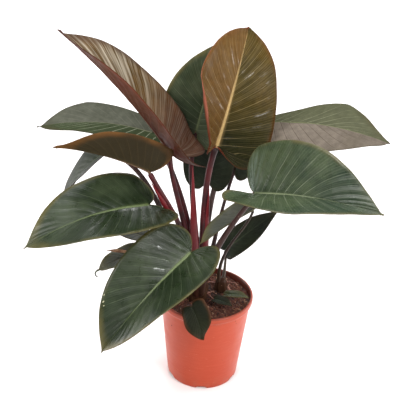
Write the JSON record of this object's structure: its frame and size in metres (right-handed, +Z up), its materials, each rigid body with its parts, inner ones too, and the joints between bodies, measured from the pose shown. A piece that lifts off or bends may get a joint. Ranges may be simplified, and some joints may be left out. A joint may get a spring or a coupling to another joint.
{
  "type": "potted congo rojo philodendron",
  "caption": "Self-heading aroid house plant with large glossy leaves on burgundy petioles, in a tapered plastic grower's pot filled with potting mix.",
  "frame": {"origin": "centre of the pot's underside, on the surface that the pot stands on", "axes": "+Z up, -Y towards the side that the front leaf hangs over, +X to the right seen from that side"},
  "size_m": [0.837, 0.497, 0.9294],
  "materials": {
    "leaf_green": "satin",
    "leaf_dark": "satin",
    "leaf_bronze": "satin",
    "leaf_red": "satin",
    "petiole": "satin",
    "pot": "satin",
    "soil": "matte"
  },
  "bodies": {
    "root": {"shoot_main": "petiole", "shoot_right": "petiole", "shoot_front_1": "petiole", "shoot_soil_1": "petiole", "shoot_soil_2": "petiole", "leaf_upright_bronze": "leaf_bronze", "leaf_upright_green": "leaf_green", "leaf_bronze_upper_left": "leaf_red", "leaf_bronze_left": "leaf_red", "leaf_green_left_back": "leaf_green", "leaf_green_hanging_left": "leaf_green", "leaf_green_left": "leaf_green", "leaf_small_grey_left": "leaf_green", "leaf_small_green_left": "leaf_green", "leaf_big_front": "leaf_green", "leaf_twisted_centre": "leaf_green", "leaf_dark_lower_right": "leaf_dark", "leaf_dark_centre_back": "leaf_dark", "leaf_dark_right_back": "leaf_dark", "leaf_green_upper_right": "leaf_green", "leaf_green_right": "leaf_green", "leaf_small_over_rim": "leaf_dark", "leaf_young_on_soil": "leaf_green", "leaf_young_dark_on_soil": "leaf_dark", "pot": "pot", "soil": "soil"}
  },
  "joints": []
}
